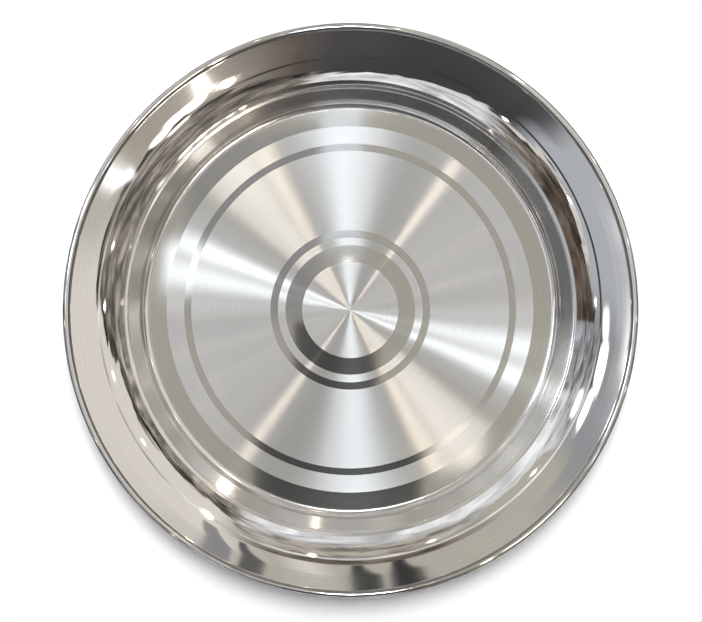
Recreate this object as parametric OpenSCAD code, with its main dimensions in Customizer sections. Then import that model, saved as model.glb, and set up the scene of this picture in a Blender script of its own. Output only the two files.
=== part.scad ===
// Stainless steel pooja thali: a round dish pressed from one steel sheet.
// The edge of the sheet is rolled over a stiffening wire.
// Millimetres, +Z up, origin at the centre of the underside of the floor.

/* [Dish] */
// Outer diameter over the rolled rim
dish_d = 300; // [220:1:400]
// Height from the table to the top of the rolled rim
dish_h = 35; // [32:0.5:41]
// Thickness of the steel sheet
sheet_t = 0.7; // [0.5:0.05:0.9]

/* [Lip] */
// Width of the lip, from the outside of the rim in to the line where it meets the upper wall
lip_w = 21.5; // [18:0.5:28]
// Drop of that line below the top of the rim
lip_drop = 5.3; // [4:0.1:8]
// Radius of the bend from the upper wall out into the lip
flare_r = 34; // [8:1:40]

/* [Wall] */
// Distance that the upper wall and the ledge take up, from the lip in to the edge of the stacking step
upper_run = 11; // [10:0.5:15]
// Distance that the lower wall takes up, from the edge of the stacking step in to the floor
lower_run = 6.3; // [3:0.1:9]
// Height of the edge of the stacking step above the table
step_h = 19.5; // [15:0.5:23]
// Width of the ledge of the stacking step
step_w = 1.8; // [1.4:0.1:2.2]
// Rise of the ledge from its inner edge to its outer edge
step_rise = 0.4; // [0.2:0.1:0.8]
// Radius of the bend from the lower wall onto the ledge
ledge_r = 1.2; // [1:0.1:1.6]
// Radius of the bend from the ledge into the upper wall
riser_r = 0.8; // [0.5:0.1:1]

/* [Floor] */
// Radius of the bend between floor and wall, on the inside
corner_r = 4.3; // [2.5:0.1:8]

/* [Rolled rim] */
// Diameter of the wire inside the rolled rim
wire_d = 2.5; // [2:0.1:4]
// Radial clearance between the wire and the sheet rolled round it
wire_clear = 0.05; // [0.03:0.01:0.1]
// Gap between the butted ends of the wire
wire_gap = 1; // [0.5:0.1:3]
// Slope at which the sheet turns up from the lip into the roll
kick_angle = 60; // [45:1:70]
// Length of that short turned-up stretch
kick_run = 0.45; // [0.4:0.05:0.8]
// Radius of the bend between the lip and the turned-up stretch
kick_r = 0.8; // [0.5:0.1:0.9]
// Angle that the sheet wraps round the wire
curl_wrap = 295; // [250:5:300]

/* [Hidden] */

// Straight steps in each bend of the sheet and in the roll round the wire
bend_steps = 10;
curl_steps = 48;

// Fineness of the turned shapes
$fn = 180;

// Radii of the three lines that the lip, the two walls and the floor would meet in if their bends were sharp
lip_foot_r = dish_d / 2 - lip_w;
step_r = lip_foot_r - upper_run;
floor_r = step_r - lower_run;

// The roll is as large as the wire, its clearance and the sheet make it
curl_r = wire_d / 2 + wire_clear + sheet_t;
wire_ring_r = dish_d / 2 - curl_r;
wire_ring_z = dish_h - curl_r;

// Where the turned-up stretch meets the roll, and where it leaves the lip, on the upper face of the sheet
curl_start = kick_angle + 90;
curl_foot = [wire_ring_r, wire_ring_z] + curl_r * [cos(curl_start), sin(curl_start)];
kick_foot = curl_foot - kick_run * [cos(kick_angle), sin(kick_angle)];

// Corners of the upper face of the sheet from the floor out to the roll: [radius, height, bend radius]
corners = [
    [floor_r, sheet_t, corner_r],
    [step_r, step_h, ledge_r],
    [step_r + step_w, step_h + step_rise, riser_r],
    [lip_foot_r, dish_h - lip_drop, flare_r],
    [kick_foot[0], kick_foot[1], kick_r],
];

// Slope of each straight stretch: the floor, the stretches between corners, and the turned-up stretch
slopes = concat(
    0,
    [for (i = [0 : len(corners) - 2])
        atan2(corners[i + 1][1] - corners[i][1], corners[i + 1][0] - corners[i][0])],
    kick_angle
);

// Points of one bend, on the face that lies depth below the upper face of the sheet
function bend_points(corner, slope_in, slope_out, depth) =
    let (
        turn = slope_out - slope_in,
        side = turn > 0 ? 1 : -1,
        radius = corner[2],
        reach = radius * tan(abs(turn) / 2),
        start = [corner[0], corner[1]] - reach * [cos(slope_in), sin(slope_in)],
        centre = start + side * radius * [-sin(slope_in), cos(slope_in)]
    )
    [for (i = [0 : bend_steps])
        let (slope = slope_in + turn * i / bend_steps)
        centre + (radius + side * depth) * side * [sin(slope), -cos(slope)]];

// Points of the roll round the wire, on the face that lies depth below the upper face of the sheet
function curl_points(depth) =
    [for (i = [0 : curl_steps])
        let (angle = curl_start - curl_wrap * i / curl_steps)
        [wire_ring_r, wire_ring_z] + (curl_r - depth) * [cos(angle), sin(angle)]];

// One face of the sheet from the axis to the end of the roll
function sheet_face(depth) = concat(
    [[0, sheet_t - depth]],
    [for (i = [0 : len(corners) - 1])
        each bend_points(corners[i], slopes[i], slopes[i + 1], depth)],
    curl_points(depth)
);

function reversed(list) = [for (i = [len(list) - 1 : -1 : 0]) list[i]];

// The pressed sheet: floor, lower wall, stacking step, upper wall, lip and rolled edge in one piece
module dish() {
    color("gainsboro")
        rotate_extrude()
            polygon(concat(sheet_face(0), reversed(sheet_face(sheet_t))));
}

// The round wire inside the rolled edge, bent into a ring whose two ends butt together
module rim_wire() {
    gap_angle = 360 * wire_gap / (2 * PI * wire_ring_r);
    color("darkgray")
        rotate_extrude(angle = 360 - gap_angle)
            translate([wire_ring_r, wire_ring_z])
                circle(d = wire_d);
}

dish();
rim_wire();
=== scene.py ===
# %% [markdown]
# # A stainless steel pooja thali
# The thali is a round dish pressed from one sheet of steel. Its floor is spun to a satin finish with polished rings,
# its wall and lip are polished like a mirror, and its edge is rolled over a wire.
# This lesson draws the section of the sheet once, spins it into the dish, and then spends most of its effort on the
# finishes and on the light, because polished steel has almost no colour of its own: it shows what stands round it.

# %% Load the frame
import math

import bpy
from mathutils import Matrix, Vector


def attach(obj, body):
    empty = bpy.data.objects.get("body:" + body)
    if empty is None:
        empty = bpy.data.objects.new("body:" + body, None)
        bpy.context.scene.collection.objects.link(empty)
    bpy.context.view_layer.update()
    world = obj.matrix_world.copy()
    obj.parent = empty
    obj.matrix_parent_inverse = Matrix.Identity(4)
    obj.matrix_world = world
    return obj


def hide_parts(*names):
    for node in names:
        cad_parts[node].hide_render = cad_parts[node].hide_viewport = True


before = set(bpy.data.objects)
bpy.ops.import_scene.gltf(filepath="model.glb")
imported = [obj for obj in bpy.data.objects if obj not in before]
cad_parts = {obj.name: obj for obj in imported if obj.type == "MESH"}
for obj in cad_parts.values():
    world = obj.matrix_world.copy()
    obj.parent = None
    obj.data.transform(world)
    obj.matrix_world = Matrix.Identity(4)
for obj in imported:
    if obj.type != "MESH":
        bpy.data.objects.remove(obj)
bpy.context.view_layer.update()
print("CAD nodes:", sorted(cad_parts))

# %% [markdown]
# ## The section of the sheet
# A spun dish is the same all round, so one half section describes it. These are the same sizes that the solid model
# uses, in metres: the lines where floor, walls and lip would meet if the bends were sharp, and the radius of each
# bend. Writing the section as corners and bends keeps it the same as the real sheet, which is flat between its bends.

# %% Sizes of the section
MM = 0.001
SHEET = 0.7 * MM
RIM_R, RIM_H = 150 * MM, 35 * MM
WIRE_R, WIRE_CLEAR = 1.25 * MM, 0.05 * MM
CURL_R = WIRE_R + WIRE_CLEAR + SHEET
CURL_C = Vector((RIM_R - CURL_R, 0, RIM_H - CURL_R))
CURL_WRAP, CURL_STEPS = math.radians(295), 40
KICK, KICK_RUN = math.radians(60), 0.45 * MM

curl_foot = CURL_C + CURL_R * Vector((-math.sin(KICK), 0, math.cos(KICK)))
kick_foot = curl_foot - KICK_RUN * Vector((math.cos(KICK), 0, math.sin(KICK)))
# Place of each corner, radius of its bend, and straight steps in the bend, from the floor out to the roll
CORNERS = [
    (Vector((111.2 * MM, 0, SHEET)), 4.3 * MM, 14),
    (Vector((117.5 * MM, 0, 19.5 * MM)), 1.2 * MM, 6),
    (Vector((119.3 * MM, 0, 19.9 * MM)), 0.8 * MM, 6),
    (Vector((128.5 * MM, 0, 29.7 * MM)), 34 * MM, 32),
    (kick_foot, 0.8 * MM, 6),
]
# Radii at which the finish of the floor changes from satin to polished and back
FINISH_EDGES = [r * MM for r in (25.9, 34.9, 39.0, 43.0, 85.6, 89.3, 98.7)]
print("corners in mm:", [[round(c * 1000, 2) for c in corner] for corner, radius, steps in CORNERS])

# %% [markdown]
# ## Drawing the section with extrude and spin
# A plane merged to one point is the pen. Extruding the point draws a straight stretch, and spinning it about the
# centre of a bend draws an arc that meets both stretches smoothly. Each long stretch gets an extra point close to both
# its ends: without them smooth shading would bleed from the bends across the flat parts, and a mirror shows that at
# once.

# %% Pen helpers
HOLD = 0.25 * MM
SHORT = 6 * HOLD


def start_pen(point):
    bpy.ops.object.select_all(action="DESELECT")
    bpy.ops.mesh.primitive_plane_add(size=MM, location=(0, 0, 0))
    bpy.ops.object.mode_set(mode="EDIT")
    bpy.ops.mesh.select_mode(type="VERT")
    bpy.ops.mesh.select_all(action="SELECT")
    bpy.ops.mesh.merge(type="CENTER")
    bpy.ops.transform.translate(value=point)
    return Vector(point)


def draw_to(pen, point):
    bpy.ops.mesh.extrude_region_move(TRANSFORM_OT_translate={"value": point - pen})
    return point.copy()


def draw_stretch(pen, point):
    along = (point - pen).normalized() * HOLD
    if (point - pen).length > SHORT:
        pen = draw_to(pen, pen + along)
        pen = draw_to(pen, point - along)
    return draw_to(pen, point)


def draw_bend(centre, turn, steps):
    bpy.ops.mesh.spin(steps=steps, angle=turn, center=centre, axis=(0, 1, 0))


print("extra points lie", HOLD / MM, "mm from the ends of a stretch")

# %% Draw the upper face of the sheet
pen = start_pen((0, 0, SHEET))
for radius in FINISH_EDGES:
    pen = draw_to(pen, Vector((radius, 0, SHEET)))

heading = 0.0
for i, (corner, radius, steps) in enumerate(CORNERS):
    following = CORNERS[i + 1][0] if i + 1 < len(CORNERS) else curl_foot
    way = following - corner
    turn = math.atan2(way.z, way.x) - heading
    reach = radius * math.tan(abs(turn) / 2)
    into = Vector((math.cos(heading), 0, math.sin(heading)))
    pen = draw_stretch(pen, corner - reach * into)
    side = Vector((-into.z, 0, into.x)) * math.copysign(radius, turn)
    draw_bend(pen + side, turn, steps)
    heading += turn
    pen = corner + reach * Vector((math.cos(heading), 0, math.sin(heading)))
pen = draw_to(pen, curl_foot)
draw_bend(CURL_C, -CURL_WRAP, CURL_STEPS)
bpy.ops.object.mode_set(mode="OBJECT")
dish = bpy.context.object
dish.name = dish.data.name = "thali_dish"
print("section points:", len(dish.data.vertices))

# %% [markdown]
# ## Spinning the section into the dish
# The real dish is spun on a lathe, and Spin does the same: it turns the section once round the upright axis. The first
# and last copy of the section meet, and all copies of the point on the axis meet too, so doubles are merged before the
# normals are made to agree. On an open shell they may agree on the wrong side, so the script asks the floor which way
# it looks.

# %% Spin and clean
SPIN_STEPS = 320
MERGE_GAP = 0.002 * MM


def face_up(made):
    """Turns all faces over where the one nearest the axis looks down."""
    middle = min(made.data.polygons, key=lambda face: face.center.xy.length)
    if middle.normal.z < 0:
        bpy.ops.object.mode_set(mode="EDIT")
        bpy.ops.mesh.select_all(action="SELECT")
        bpy.ops.mesh.flip_normals()
        bpy.ops.object.mode_set(mode="OBJECT")


bpy.ops.object.mode_set(mode="EDIT")
bpy.ops.mesh.select_all(action="SELECT")
bpy.ops.mesh.spin(steps=SPIN_STEPS, angle=2 * math.pi, center=(0, 0, 0), axis=(0, 0, 1))
bpy.ops.mesh.select_all(action="SELECT")
bpy.ops.mesh.remove_doubles(threshold=MERGE_GAP)
bpy.ops.mesh.normals_make_consistent(inside=False)
bpy.ops.object.mode_set(mode="OBJECT")
face_up(dish)
print("shell faces:", len(dish.data.polygons))

# %% [markdown]
# ## Zones of finish
# The satin floor, the polished rings and the mirror-polished lip are one sheet, so they are one mesh with seven
# material slots. The edges of the rings were drawn as points of the section, so each ring is an exact set of faces.
# Outside the last satin band the floor ends in a buffed border, and the wall is buffed up to the stacking step, where
# the wheel still has to follow tight bends. A narrow seam in the corner at the foot of the roll gets a dark, dull steel
# colour, which is painted shade for the crease there.

# %% Assign the zones
ZONES = ("satin_floor", "polished_ring", "buffed_border", "buffed_wall", "mirror_lip", "crease_shade_paint", "plain_underside")
SATIN, RING, BORDER, WALL, MIRROR, CREASE_SHADE, UNDERSIDE = range(len(ZONES))
BORDER_END, WALL_END = 107.9 * MM, 119.8 * MM
CREASE_SHADE_START, CREASE_SHADE_END = curl_foot.x - 0.3 * MM, CURL_C.x - 0.4 * CURL_R


def new_material(name):
    material = bpy.data.materials.new(name)
    material.use_nodes = True
    return material


for name in ZONES:
    dish.data.materials.append(new_material(name))
for face in dish.data.polygons:
    r = face.center.xy.length
    ring = sum(r > edge for edge in FINISH_EDGES)
    if ring < len(FINISH_EDGES):
        zone = (SATIN, RING)[ring % 2]
    elif r < BORDER_END:
        zone = BORDER
    # The faces in the crease at the foot of the roll take the painted shade
    elif CREASE_SHADE_START < r < CREASE_SHADE_END and face.center.z > CURL_C.z:
        zone = CREASE_SHADE
    else:
        zone = WALL if r < WALL_END else MIRROR
    face.material_index = zone
print("zones:", len(dish.data.materials))

# %% [markdown]
# ## The thickness of the sheet
# The real sheet is equally thick everywhere. Solidify adds that thickness below the drawn face, which closes the edge
# of the roll as well, and puts the new faces into the slot of the underside. Drawing the lower face by hand would take
# the same bends again.

# %% Thicken and shade
SMOOTH_BELOW = math.radians(35)
thicken = dish.modifiers.new("sheet thickness", "SOLIDIFY")
thicken.thickness = SHEET
thicken.offset = -1
thicken.use_even_offset = True
thicken.use_quality_normals = True
thicken.material_offset = UNDERSIDE
thicken.material_offset_rim = UNDERSIDE
bpy.ops.object.modifier_apply(modifier=thicken.name)
bpy.ops.object.shade_smooth_by_angle(angle=SMOOTH_BELOW)
counts = [sum(p.material_index == k for p in dish.data.polygons) for k in range(len(ZONES))]
print("faces per zone:", counts, "triangles:", sum(len(p.vertices) - 2 for p in dish.data.polygons))
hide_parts("dish")
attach(dish, "root")

# %% [markdown]
# ## Grain that runs round the dish
# Satin steel is brushed and polished steel is buffed while the dish spins, so every mark of both is a circle. Two
# effects are shared by several finishes and are node groups: lines that follow the section from the centre to the rim,
# and the slow waves that a press leaves in thin sheet. Measuring along the section (radius plus height) keeps the lines
# equally fine on the flat floor and on the steep wall. The small helpers make nodes and give their sockets a link or a
# plain value.

# %% Node helpers
def add(tree, kind, **settings):
    node = tree.nodes.new(kind)
    for key, value in settings.items():
        setattr(node, key, value)
    return node


def feed(tree, *pairs):
    """Gives each socket its value: a link from another node's output, or a plain number or colour."""
    for socket, value in pairs:
        if isinstance(value, bpy.types.NodeSocket):
            tree.links.new(value, socket)
        elif socket.type == "RGBA":
            socket.default_value = (*value, 1)
        else:
            socket.default_value = value


def maths(tree, operation, *values):
    node = add(tree, "ShaderNodeMath", operation=operation)
    feed(tree, *zip(node.inputs, values))
    return node.outputs[0]


def vector_maths(tree, operation, *values):
    node = add(tree, "ShaderNodeVectorMath", operation=operation)
    feed(tree, *zip(node.inputs, values))
    return node.outputs["Value" if operation in ("LENGTH", "DOT_PRODUCT") else "Vector"]


def split(tree, vector):
    node = add(tree, "ShaderNodeSeparateXYZ")
    feed(tree, (node.inputs[0], vector))
    return list(node.outputs)


def noise(tree, place, scale, detail, dimensions="3D"):
    node = add(tree, "ShaderNodeTexNoise", noise_dimensions=dimensions)
    feed(tree, (node.inputs["W" if dimensions == "1D" else "Vector"], place),
         (node.inputs["Scale"], scale), (node.inputs["Detail"], detail))
    return node


def object_place(tree):
    return add(tree, "ShaderNodeTexCoord").outputs["Object"]


def new_group(name, inputs, outputs):
    group = bpy.data.node_groups.new(name, "ShaderNodeTree")
    for label, value in inputs:
        socket = group.interface.new_socket(label, in_out="INPUT", socket_type="NodeSocketFloat")
        socket.default_value = value
    for label, kind in outputs:
        group.interface.new_socket(label, in_out="OUTPUT", socket_type=kind)
    return group, add(group, "NodeGroupInput"), add(group, "NodeGroupOutput")


# %% Group: spun lines
BANDS_PER_LINE = 0.06
CLOUDS_PER_METRE = 24
spun_lines, source, target = new_group(
    "Spun lines", [("Lines per Metre", 2000)],
    [("Lines", "NodeSocketFloat"), ("Bands", "NodeSocketFloat"), ("Clouds", "NodeSocketFloat")])
place = object_place(spun_lines)
x, y, z = split(spun_lines, place)
flat = add(spun_lines, "ShaderNodeCombineXYZ")
feed(spun_lines, (flat.inputs["X"], x), (flat.inputs["Y"], y))
along = maths(spun_lines, "ADD", vector_maths(spun_lines, "LENGTH", flat.outputs[0]), z)
fine = maths(spun_lines, "MULTIPLY", along, source.outputs["Lines per Metre"])
broad = maths(spun_lines, "MULTIPLY", fine, BANDS_PER_LINE)
lines = noise(spun_lines, fine, scale=1, detail=2, dimensions="1D")
bands = noise(spun_lines, broad, scale=1, detail=2, dimensions="1D")
clouds = noise(spun_lines, place, scale=CLOUDS_PER_METRE, detail=3)
feed(spun_lines, (target.inputs["Lines"], lines.outputs["Fac"]), (target.inputs["Bands"], bands.outputs["Fac"]),
     (target.inputs["Clouds"], clouds.outputs["Fac"]))
print("group:", spun_lines.name, "nodes:", len(spun_lines.nodes))

# %% Group: press waves
press_waves, source, target = new_group(
    "Press waves", [("Waves per Metre", 22), ("Height", 0.0002)], [("Normal", "NodeSocketVector")])
swell = noise(press_waves, object_place(press_waves), scale=source.outputs["Waves per Metre"], detail=1)
bump = add(press_waves, "ShaderNodeBump")
feed(press_waves, (bump.inputs["Height"], swell.outputs["Fac"]), (bump.inputs["Distance"], source.outputs["Height"]),
     (target.inputs["Normal"], bump.outputs["Normal"]))
print("group:", press_waves.name, "nodes:", len(press_waves.nodes))

# %% [markdown]
# ## Seven finishes on one sheet
# The highlights of brushed steel stretch across its marks, so on this floor they are rays from the centre. Each finish
# is a mix of two shaders: a Principled one for the polished steel, and a Glossy one for the brush marks, whose Beckmann
# lobe can be drawn out further than the Principled one and ends without a haze, so the rays stay apart. The Glossy one
# takes its direction from a Tangent node that runs round Z. Satin is nearly all brush, and the mirror nearly none.

# %% Finish helpers
NOISE_LOW, NOISE_HIGH = 0.3, 0.7
BRUSH_ROUGHNESS, BRUSH_DRAWN_OUT = 0.31, 0.81
BAND_SWING = 0.02


def principled(material):
    return material.node_tree.nodes["Principled BSDF"]


def surface(tree):
    return tree.nodes["Material Output"].inputs["Surface"]


def remap(tree, value, start, end, low=0, high=1, smooth=False):
    node = add(tree, "ShaderNodeMapRange", interpolation_type="SMOOTHSTEP" if smooth else "LINEAR")
    feed(tree, (node.inputs["Value"], value), (node.inputs["From Min"], start), (node.inputs["From Max"], end),
         (node.inputs["To Min"], low), (node.inputs["To Max"], high))
    return node.outputs["Result"]


def mixed(tree, share, first, second, kind="RGBA", blend="MIX"):
    node = add(tree, "ShaderNodeMix", data_type=kind, blend_type=blend)
    feed(tree, (node.inputs["Factor"], share), (node.inputs["A"], first), (node.inputs["B"], second))
    return node.outputs["Result"]


def mixed_shader(tree, share, first, second):
    node = add(tree, "ShaderNodeMixShader")
    feed(tree, (node.inputs["Fac"], share), (node.inputs[1], first.outputs[0]), (node.inputs[2], second.outputs[0]))
    return node.outputs[0]


def steel_finish(material, dark, light, polish, brush_share, lines_per_metre=700, waves=None):
    """Polish is the least and greatest roughness of the polished steel. Waves are waves per metre and their height."""
    tree = material.node_tree
    shader = principled(material)
    marks = add(tree, "ShaderNodeBsdfAnisotropic", distribution="BECKMANN")
    tangent = add(tree, "ShaderNodeTangent", direction_type="RADIAL", axis="Z")
    grain = add(tree, "ShaderNodeGroup", node_tree=spun_lines)
    feed(tree, (grain.inputs["Lines per Metre"], lines_per_metre))
    lines, bands, clouds = (grain.outputs[label] for label in ("Lines", "Bands", "Clouds"))
    colour = mixed(tree, remap(tree, lines, NOISE_LOW, NOISE_HIGH), dark, light)
    brush = [BRUSH_ROUGHNESS * swing for swing in (1 + BAND_SWING, 1 - BAND_SWING)]
    feed(tree, (shader.inputs["Metallic"], 1), (shader.inputs["Base Color"], colour),
         (shader.inputs["Roughness"], remap(tree, clouds, NOISE_LOW, NOISE_HIGH, *polish)),
         (marks.inputs["Color"], colour), (marks.inputs["Anisotropy"], BRUSH_DRAWN_OUT),
         (marks.inputs["Roughness"], remap(tree, bands, NOISE_LOW, NOISE_HIGH, *brush)),
         (marks.inputs["Tangent"], tangent.outputs[0]),
         (surface(tree), mixed_shader(tree, brush_share, shader, marks)))
    if waves:
        wave = add(tree, "ShaderNodeGroup", node_tree=press_waves)
        feed(tree, (wave.inputs["Waves per Metre"], waves[0]), (wave.inputs["Height"], waves[1]),
             (shader.inputs["Normal"], wave.outputs["Normal"]), (marks.inputs["Normal"], wave.outputs["Normal"]))
    print(material.name, "polish:", polish, "brush share:", brush_share)


# %% Finishes
# Zone, darker and lighter colour of the lines, polish, share of brush marks, press waves
for zone, dark, light, polish, brush_share, waves in (
        (SATIN, (0.72, 0.72, 0.718), (0.75, 0.75, 0.748), (0.20, 0.26), 0.92, None),
        (RING, (0.75, 0.745, 0.73), (0.77, 0.765, 0.755), (0.03, 0.05), 0.07, None),
        (BORDER, (0.75, 0.745, 0.73), (0.77, 0.765, 0.755), (0.03, 0.05), 0.08, None),
        (WALL, (0.755, 0.75, 0.735), (0.785, 0.78, 0.765), (0.10, 0.14), 0.16, (22, 0.1 * MM)),
        (MIRROR, (0.755, 0.75, 0.74), (0.785, 0.78, 0.77), (0.035, 0.055), 0.03, (22, 0.2 * MM)),
        # The seam's dark steel colour is painted shade for the crease at the foot of the roll
        (CREASE_SHADE, (0.24, 0.23, 0.22), (0.38, 0.37, 0.36), (0.20, 0.30), 0.15, None),
        (UNDERSIDE, (0.68, 0.68, 0.675), (0.75, 0.745, 0.74), (0.16, 0.24), 0.375, (26, 0.15 * MM))):
    steel_finish(dish.data.materials[zone], dark, light, polish, brush_share, waves=waves)

# %% [markdown]
# ## The wire in the rolled edge
# Drawn wire is grey and a little dull. It stays inside the roll, so the solid model's own ring is kept and only
# painted. Its marks lie closer together than those of the sheet.

# %% Wire
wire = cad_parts["rim_wire"]
drawn_wire = new_material("drawn_wire")
steel_finish(drawn_wire, (0.42, 0.42, 0.43), (0.55, 0.55, 0.55), (0.30, 0.42), 0.3, lines_per_metre=2500)
wire.data.materials.clear()
wire.data.materials.append(drawn_wire)

# %% [markdown]
# ## Floor and backdrop
# The dish lies on a pale floor. Floor and backdrop add light of their own for camera, glossy and transmission rays, so
# both are white in the picture and in the steel. Near the dish that is only a little, so the floor keeps the shadow.
# The floor is a ring, open under the dish and clear from below, so that the underside can be looked at too.

# %% Floor
FLOOR_HOLE, FLOOR_R = 0.1086, 15
RING_CORNERS = 128
# Distances from the centre between which the floor's own light grows, and its strength at both
GLOW_START, GLOW_END, GLOW_NEAR, GLOW_FAR = 0.25, 3.2, 0.05, 1.0
WHITE_LIGHT = (1, 1, 1)


def flat_ring(name, inner, outer, high):
    bpy.ops.object.select_all(action="DESELECT")
    bpy.ops.mesh.primitive_circle_add(vertices=RING_CORNERS, radius=inner, location=(0, 0, high))
    made = bpy.context.object
    made.name = name
    bpy.ops.object.mode_set(mode="EDIT")
    bpy.ops.mesh.select_all(action="SELECT")
    bpy.ops.mesh.extrude_region_move()
    bpy.ops.transform.resize(value=(outer / inner, outer / inner, 1))
    bpy.ops.mesh.select_all(action="SELECT")
    bpy.ops.mesh.normals_make_consistent(inside=False)
    bpy.ops.object.mode_set(mode="OBJECT")
    face_up(made)
    print(name, "faces:", len(made.data.polygons))
    return made


def seen_directly(tree):
    path = add(tree, "ShaderNodeLightPath").outputs
    seen = maths(tree, "MAXIMUM", path["Is Camera Ray"], path["Is Glossy Ray"])
    return maths(tree, "MAXIMUM", seen, path["Is Transmission Ray"])


floor = flat_ring("pale_floor", FLOOR_HOLE, FLOOR_R, 0)
pale_paint = new_material("pale_floor")
tree = pale_paint.node_tree
shader = principled(pale_paint)
far_off = vector_maths(tree, "LENGTH", object_place(tree))
glow = remap(tree, far_off, GLOW_START, GLOW_END, GLOW_NEAR, GLOW_FAR, smooth=True)
below = add(tree, "ShaderNodeNewGeometry").outputs["Backfacing"]
clear = add(tree, "ShaderNodeBsdfTransparent")
feed(tree, (shader.inputs["Base Color"], (0.85, 0.85, 0.85)), (shader.inputs["Roughness"], 1),
     (shader.inputs["Specular IOR Level"], 0), (shader.inputs["Emission Color"], WHITE_LIGHT),
     (shader.inputs["Emission Strength"], maths(tree, "MULTIPLY", seen_directly(tree), glow)),
     (surface(tree), mixed_shader(tree, below, shader, clear)))
floor.data.materials.append(pale_paint)

# %% Backdrop
BACKDROP_UNSEEN, BACKDROP_SEEN = 0.06, 1.0
world = bpy.data.worlds.new("backdrop")
bpy.context.scene.world = world
world.use_nodes = True
tree = world.node_tree
background = tree.nodes["Background"]
level = remap(tree, seen_directly(tree), 0, 1, BACKDROP_UNSEEN, BACKDROP_SEEN)
feed(tree, (background.inputs["Color"], WHITE_LIGHT), (background.inputs["Strength"], level))
print("backdrop:", world.name)

# %% [markdown]
# ## The lamp over the dish
# One soft lamp lights floor and dish from high above. It stands a little towards the top of the picture, so that the
# shadow shows below the dish. A mirror would show it as a bright patch, so reflections don't see it.

# %% Key lamp
KEY_TILT, KEY_FAR = math.radians(16), 3.0
KEY_WIDE, KEY_LONG, KEY_WATTS = 0.7, 1.6, 110
bpy.ops.object.select_all(action="DESELECT")
bpy.ops.object.light_add(type="AREA", location=(0, KEY_FAR * math.sin(KEY_TILT), KEY_FAR * math.cos(KEY_TILT)),
                         rotation=(-KEY_TILT, 0, 0))
key = bpy.context.object
key.name = "key_lamp"
key.data.shape = "ELLIPSE"
key.data.size = KEY_WIDE
key.data.size_y = KEY_LONG
key.data.energy = KEY_WATTS
key.visible_glossy = key.visible_camera = False
print("key lamp:", key.data.energy, "W")

# %% [markdown]
# ## A tent for the steel to mirror
# Polished steel in a white room would be white all over and lose its shape, so photographers stand tents, flags and
# lamps round it. This tent is a half dome that only reflections see. Its cloth is pale on one side and dark on another,
# and its lower part is busy, because that is what makes the curved wall of the dish look deep and polished.

# %% Tent dome
TENT_R = 14


def only_mirrored(made):
    made.visible_camera = made.visible_diffuse = made.visible_shadow = False


bpy.ops.object.select_all(action="DESELECT")
bpy.ops.mesh.primitive_uv_sphere_add(segments=64, ring_count=32, radius=TENT_R, location=(0, 0, 0))
tent = bpy.context.object
tent.name = "tent"
bpy.ops.object.mode_set(mode="EDIT")
bpy.ops.mesh.select_all(action="SELECT")
bpy.ops.mesh.bisect(plane_co=(0, 0, 0), plane_no=(0, 0, 1), clear_inner=True)
bpy.ops.object.mode_set(mode="OBJECT")
only_mirrored(tent)
cloth = new_material("tent_cloth")
tent.data.materials.append(cloth)
print("tent faces:", len(tent.data.polygons))

# %% [markdown]
# ## Round the tent and up the tent
# Everything on the cloth is placed by two measures: how far round the tent it lies, and how high, as a share of the
# right angle from the floor to straight overhead. A ramp holds the paints of one height all the way round. The wall of
# the dish mirrors the middle of the tent, its lip the part above, and its floor the top.

# %% Measures and paints
tree = cloth.node_tree
tree.nodes.remove(principled(cloth))


def share_of_right_angle(sine):
    return maths(tree, "MULTIPLY", maths(tree, "ARCSINE", sine), 2 / math.pi)


def ramp_round(stops):
    """A ramp round the tent. Stops are picture angles, clockwise from the right, with a colour or a plain value."""
    ramp = add(tree, "ShaderNodeValToRGB")
    ordered = sorted(((180 - angle) % 360 / 360, colour) for angle, colour in stops)
    elements = ramp.color_ramp.elements
    for spot, colour in ordered[1:-1]:
        elements.new(spot)
    for element, (spot, colour) in zip(elements, ordered):
        element.position = spot
        element.color = (*colour, 1) if isinstance(colour, tuple) else (colour, colour, colour, 1)
    feed(tree, (ramp.inputs["Fac"], round_tent))
    return ramp.outputs["Color"]


way = vector_maths(tree, "NORMALIZE", object_place(tree))
x, y, z = split(tree, way)
round_tent = remap(tree, maths(tree, "ARCTAN2", y, x), -math.pi, math.pi)
height = share_of_right_angle(z)
WHITE, CREAM = (0.95, 0.96, 0.98), (0.86, 0.81, 0.76)
SAND, TAUPE, CLAY = (0.54, 0.51, 0.445), (0.45, 0.405, 0.35), (0.34, 0.31, 0.27)
COOL, GREY, SLATE = (0.52, 0.54, 0.58), (0.42, 0.42, 0.42), (0.34, 0.35, 0.37)
BROWN, UMBER, BLACK = (0.28, 0.25, 0.22), (0.12, 0.09, 0.07), (0.05, 0.05, 0.055)
CEILING = (0.435, 0.415, 0.365)
print("measures and paints, nodes so far:", len(tree.nodes))

# %% Cloths round the tent
crown_cloth = ramp_round([
    (0, SAND), (25, SAND), (56, TAUPE), (66, BROWN), (73, UMBER), (82, BLACK), (127, BLACK), (136, GREY),
    (160, GREY), (172, SLATE), (212, SLATE), (226, SAND), (318, SAND)])
upper_cloth = ramp_round([
    (0, CREAM), (12, CREAM), (30, SAND), (44, TAUPE), (60, TAUPE), (69, BROWN), (76, UMBER), (85, BLACK),
    (127, BLACK), (135, COOL), (170, COOL), (180, SLATE), (206, SLATE), (216, SAND), (275, SAND), (283, CREAM),
    (291, SAND), (306, CREAM), (345, CREAM)])
lower_cloth = ramp_round([
    (0, BROWN), (76, BROWN), (85, WHITE), (120, WHITE), (130, BROWN), (146, UMBER), (174, UMBER), (184, SLATE),
    (200, GREY), (212, WHITE), (292, WHITE), (304, TAUPE), (340, TAUPE)])
belt_cloth = ramp_round([
    (0, CREAM), (10, CREAM), (24, SAND), (60, TAUPE), (68, BLACK), (170, BLACK), (182, BROWN), (194, CREAM),
    (222, WHITE), (256, CREAM), (288, WHITE), (300, SAND), (312, WHITE), (326, SAND)])
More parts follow.
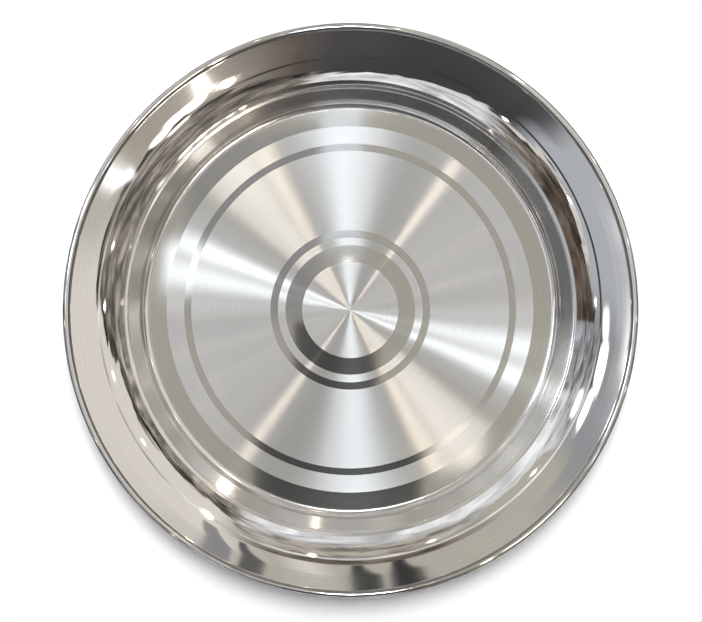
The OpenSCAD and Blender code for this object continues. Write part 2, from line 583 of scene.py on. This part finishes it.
# Height of the hem of the upper cloth
hem = ramp_round([
    (0, 0.47), (20, 0.63), (40, 0.66), (72, 0.36), (80, 0.24), (92, 0.23), (110, 0.30), (125, 0.41), (140, 0.43),
    (156, 0.38), (170, 0.32), (182, 0.58), (192, 0.64), (206, 0.40), (216, 0.27), (236, 0.27), (246, 0.43),
    (298, 0.45), (306, 0.22), (330, 0.24), (350, 0.26)])
# Where the dark arch and the trim of the hem are
arch = ramp_round([(230, 0), (250, 1), (290, 1), (305, 0)])
trim_reach = ramp_round([(104, 0), (118, 1), (164, 1), (176, 0)])
print("cloths round the tent, nodes so far:", len(tree.nodes))

# %% [markdown]
# ## The busy lower part
# The steep wall of a real dish mirrors whatever stands round it, as streaks of light and dark. One noise stands for
# that: it makes the hem of the upper cloth uneven, and it darkens and lightens the lower cloth, most just under the hem
# and least where the cloth is pale. A second, finer noise breaks it up. A pale trim runs along part of the hem.

# %% Lower part
CLUTTER_LOW, CLUTTER_HIGH = 0.38, 0.62
# Darkest and lightest tone under the hem, away from it, and of the patches
BUSY, CALM, PATCHY = (0.03, 0.6), (0.55, 1.25), (0.45, 1.75)
# How far the hem and its shadow wander, and between which tones a cloth counts as more and more pale
HEM_WANDER, SHADOW_WANDER, PALE = 0.5, 0.24, (0.45, 0.85)
# Heights above the hem between which the shadow, the trim and the upper cloth begin
SHADOW_EDGE, TRIM_EDGE, HEM_EDGE = (-0.02, 0.06), (-0.05, -0.03), (-0.01, 0.015)
clutter = noise(tree, way, scale=3.2, detail=6)
feed(tree, (clutter.inputs["Roughness"], 0.58), (clutter.inputs["Distortion"], 1.2))
pick = add(tree, "ShaderNodeSeparateColor")
feed(tree, (pick.inputs[0], clutter.outputs["Color"]))
busy = remap(tree, pick.outputs["Red"], CLUTTER_LOW, CLUTTER_HIGH, *BUSY)
calm = remap(tree, pick.outputs["Red"], CLUTTER_LOW, CLUTTER_HIGH, *CALM)
uneven = maths(tree, "MULTIPLY_ADD", pick.outputs["Green"], HEM_WANDER, -HEM_WANDER / 2)
above_hem = maths(tree, "SUBTRACT", height, maths(tree, "ADD", hem, uneven))
ragged = maths(tree, "MULTIPLY_ADD", pick.outputs["Blue"], SHADOW_WANDER, above_hem)

flecks = noise(tree, way, scale=8, detail=5)
feed(tree, (flecks.inputs["Distortion"], 0.6))
patches = remap(tree, flecks.outputs["Fac"], CLUTTER_LOW, CLUTTER_HIGH, *PATCHY)
pale = remap(tree, lower_cloth, *PALE)
near_hem = remap(tree, ragged, *SHADOW_EDGE, smooth=True)
shadow = maths(tree, "MULTIPLY", near_hem, maths(tree, "SUBTRACT", 1, pale))
depth = mixed(tree, shadow, calm, busy, kind="FLOAT")
tone = maths(tree, "MULTIPLY", mixed(tree, pale, patches, 1, kind="FLOAT"), depth)
lower = mixed(tree, 1, lower_cloth, tone, blend="MULTIPLY")

trim = maths(tree, "MULTIPLY", remap(tree, above_hem, *TRIM_EDGE, smooth=True), trim_reach)
trimmed = mixed(tree, trim, lower, CREAM)
walls = mixed(tree, remap(tree, above_hem, *HEM_EDGE, smooth=True), trimmed, upper_cloth)
print("lower part, nodes so far:", len(tree.nodes))

# %% [markdown]
# ## Arch, belt and crown
# A dark arch stands on the side towards the top of the picture and shows in the wall opposite. A narrow belt with its
# own paints runs round the tent and leans a little with the camera. Above them come the crown, which the lip shows, and
# a plain ceiling for the floor of the dish.

# %% Arch, belt and crown
CAMERA_LEAN = (-0.0166, 0.0375, 1)
# Elevations in degrees: a band starts, is full, begins to fade and ends, and a step starts and is full
ARCH_BAND, BELT_BAND = (10, 24, 54, 56), (44.3, 45.1, 47.9, 48.7)
ARCH_DARKENS, CROWN_STEP, CEILING_STEP = (36, 55), (73.5, 77), (77, 83)
BELT_FLECKS = (0.35, 0.65, 0.6, 1.25)


def step_up(low, high, heights=height):
    """Grows from 0 to 1 between two elevations."""
    return remap(tree, heights, low / 90, high / 90, smooth=True)


def band(start, full, fade, end, heights=height):
    return maths(tree, "SUBTRACT", step_up(start, full, heights), step_up(fade, end, heights))


arch_share = maths(tree, "MULTIPLY", arch, band(*ARCH_BAND))
arch_cloth = mixed(tree, 1, mixed(tree, step_up(*ARCH_DARKENS), CLAY, UMBER), patches, blend="MULTIPLY")
arched = mixed(tree, arch_share, walls, arch_cloth)
lean_height = share_of_right_angle(vector_maths(tree, "DOT_PRODUCT", way, CAMERA_LEAN))
fleck_light = remap(tree, flecks.outputs["Fac"], *BELT_FLECKS)
belt = mixed(tree, 1, belt_cloth, fleck_light, blend="MULTIPLY")
belted = mixed(tree, band(*BELT_BAND, lean_height), arched, belt)
crowned = mixed(tree, step_up(*CROWN_STEP), belted, crown_cloth)
light = add(tree, "ShaderNodeEmission")
whole = mixed(tree, step_up(*CEILING_STEP), crowned, CEILING)
feed(tree, (light.inputs["Color"], whole), (surface(tree), light.outputs[0]))
print("tent nodes:", len(tree.nodes))

# %% [markdown]
# ## Lamps and flags inside the tent
# Each lamp draws one ray across the satin floor, on both sides of the centre, and one small spark in the curved wall.
# They are glowing cards, placed by picture angle and by tilt from straight overhead, with sizes in degrees as the dish
# sees them. Cards close to straight overhead are placed by their edges instead, as shares of their height. Cards that
# give little or no light are flags, which cover a part of the tent. Soft edges keep the sparks from looking cut out.

# %% Cards
CARD_FAR = 12.0
CARD_EDGE = 0.5


def glowing(name, colour, strength, soft, spot):
    paint = new_material(name)
    tree = paint.node_tree
    tree.nodes.remove(principled(paint))
    place = object_place(tree)
    if spot:
        off_middle = [vector_maths(tree, "LENGTH", place)]
    else:
        off_middle = split(tree, vector_maths(tree, "ABSOLUTE", place))[:2]
    fades = [remap(tree, off, CARD_EDGE, CARD_EDGE * (1 - soft), smooth=True) for off in off_middle]
    light = add(tree, "ShaderNodeEmission")
    clear = add(tree, "ShaderNodeBsdfTransparent")
    share = fades[0] if spot else maths(tree, "MULTIPLY", *fades)
    feed(tree, (light.inputs["Color"], colour), (light.inputs["Strength"], strength),
         (surface(tree), mixed_shader(tree, share, clear, light)))
    return paint


def card(name, place, turn, size, colour, strength, soft, spot):
    bpy.ops.object.select_all(action="DESELECT")
    bpy.ops.mesh.primitive_plane_add(size=2 * CARD_EDGE, location=place, rotation=turn)
    made = bpy.context.object
    made.name = name
    made.scale = (*size, 1)
    made.data.materials.append(glowing(name, colour, strength, soft, spot))
    only_mirrored(made)


def lamp(name, angle, tilt, wide, tall, colour, strength, soft=0.8, spot=True):
    a, t = math.radians(-angle), math.radians(tilt)
    way = Vector((math.cos(a) * math.sin(t), math.sin(a) * math.sin(t), math.cos(t)))
    size = (2 * CARD_FAR * math.tan(math.radians(tall) / 2), CARD_FAR * math.sin(t) * math.radians(wide))
    card(name, way * CARD_FAR, (0, t, a), size, colour, strength, soft, spot)


def overhead(name, left, right, near, far, colour, strength, soft=0.4, high=CARD_FAR, spot=False):
    place = Vector(((left + right) / 2, (near + far) / 2, 1)) * high
    card(name, place, (0, 0, 0), ((right - left) * high, (far - near) * high), colour, strength, soft, spot)


# %% Lamps and flags round the tent
ICE, DAY, IVORY, AMBER = (0.90, 0.96, 1.0), (1.0, 1.0, 1.0), (1.0, 0.94, 0.86), (1.0, 0.86, 0.70)
# Picture angle, tilt, width, height, colour, strength
lamp("window_left_a", 188.5, 32, 13, 19, ICE, 15, soft=0.9, spot=False)
lamp("window_left_b", 199.5, 35, 11, 13, ICE, 23, soft=0.9, spot=False)
lamp("window_left_low", 200, 54, 9, 13, ICE, 9, soft=0.9, spot=False)
lamp("window_left_c", 179, 34, 10, 16, ICE, 4, soft=0.9, spot=False)
for i, (angle, tilt, wide, tall, strength) in enumerate((
        (44.5, 33, 8, 14, 11), (49.5, 29, 6, 15, 13), (54, 31, 7, 18, 13), (58, 23, 4, 14, 12))):
    lamp(f"lamp_right_{i + 1}", angle, tilt, wide, tall, IVORY, strength, soft=0.9)
lamp("lamp_right_warm", 62, 31, 2.4, 16, AMBER, 55, soft=0.9)
lamp("lamp_right_low", 48.5, 43, 8, 5, IVORY, 3, soft=0.5, spot=False)
lamp("lamp_top", 308.5, 46, 2.6, 13, AMBER, 68, soft=1.0)
lamp("lamp_low", 281, 48, 2, 9, AMBER, 20, soft=1.0)
lamp("white_card", 34, 26, 6, 40, DAY, 2.6, soft=1.0)
for i, (angle, wide, tall, strength) in enumerate((
        (260.2, 5.2, 27, 0), (269.8, 4.4, 25, 0), (297.8, 3, 22, 0.1), (307.5, 6.5, 25, 0.3))):
    lamp(f"flag_stand_{i + 1}", angle, 23, wide, tall, DAY, strength, soft=0.2, spot=False)
lamp("soft_card", 115, 13, 54, 7, DAY, 3.6, spot=False)
for i, angle in enumerate((220, 251, 331, 348, 4, 18, 126, 150, 175)):
    lamp(f"bulb_{i + 1}", angle, 54, 2.2, 5, IVORY, 14)
print("materials so far:", len(bpy.data.materials))

# %% Cards and flags overhead
# Left, right, near and far edge, colour, strength
overhead("strip", -0.015, 0.033, 0.084, 0.19, ICE, 43)
overhead("strip_near", -0.004, 0.026, -0.012, 0.09, ICE, 0.85)
overhead("white_sheet", -0.2705, -0.115, -0.186, 0.10, DAY, 1.35, soft=0.05, spot=True)
overhead("strip_end", 0.011, 0.018, -0.014, -0.007, DAY, 3)
overhead("window_glow", -0.097, -0.064, -0.034, 0.008, ICE, 1.9, soft=0.7)
overhead("lamp_glow", 0.058, 0.10, -0.138, -0.092, IVORY, 1.3, soft=0.7)
overhead("grey_card", -0.085, 0.008, -0.052, 0.075, DAY, 0.28, soft=0.3, high=1.02 * CARD_FAR)
overhead("flag_near", -0.018, 0.033, -0.105, -0.043, DAY, 0.05, soft=0.1)
overhead("flag_far", -0.043, 0.060, -0.30, -0.10, DAY, 0.05, soft=0.1)

# %% [markdown]
# ## A dark ring round the rim
# On a white floor the outside of a polished roll would vanish. A flat ring of dark cloth round the dish, which only
# reflections see, draws the thin dark line that separates the rim from the floor.

# %% Edge flag
EDGE_FLAG_INNER, EDGE_FLAG_OUTER, EDGE_FLAG_HIGH = 0.185, 1.2, 0.5 * MM
EDGE_FLAG_GLOW = 0.06
edge_flag = flat_ring("edge_flag", EDGE_FLAG_INNER, EDGE_FLAG_OUTER, EDGE_FLAG_HIGH)
dark_cloth = new_material("edge_flag")
shader = principled(dark_cloth)
feed(dark_cloth.node_tree, (shader.inputs["Base Color"], (0, 0, 0)), (shader.inputs["Specular IOR Level"], 0),
     (shader.inputs["Emission Color"], WHITE_LIGHT), (shader.inputs["Emission Strength"], EDGE_FLAG_GLOW))
edge_flag.data.materials.append(dark_cloth)
only_mirrored(edge_flag)

# %% [markdown]
# ## Camera
# The picture is taken from almost straight above, from about a metre, a little towards the top left. The lens follows
# from the rim's radius in the picture.

# %% Camera
CAMERA_AT = Vector((-16 * MM, 38 * MM, 1.0))
AIM_AT = Vector((-0.16 * MM, 0.72 * MM, 33 * MM))
RIM_PIXELS, PICTURE_WIDTH, SENSOR = 288.2, 702, 36
bpy.ops.object.select_all(action="DESELECT")
bpy.ops.object.camera_add(location=CAMERA_AT)
camera = bpy.context.object
sight = AIM_AT - CAMERA_AT
camera.rotation_euler = (math.atan2(sight.y, -sight.z), -math.atan2(sight.x, -sight.z), 0)
camera.data.sensor_width = SENSOR
camera.data.lens = SENSOR / PICTURE_WIDTH * RIM_PIXELS * -sight.z / RIM_R
bpy.context.scene.camera = camera
print("lens in mm:", round(camera.data.lens, 2))

# %% [markdown]
# ## Colour view
# The colours are shown as they are written.

# %% Finish
bpy.context.scene.view_settings.view_transform = "Standard"
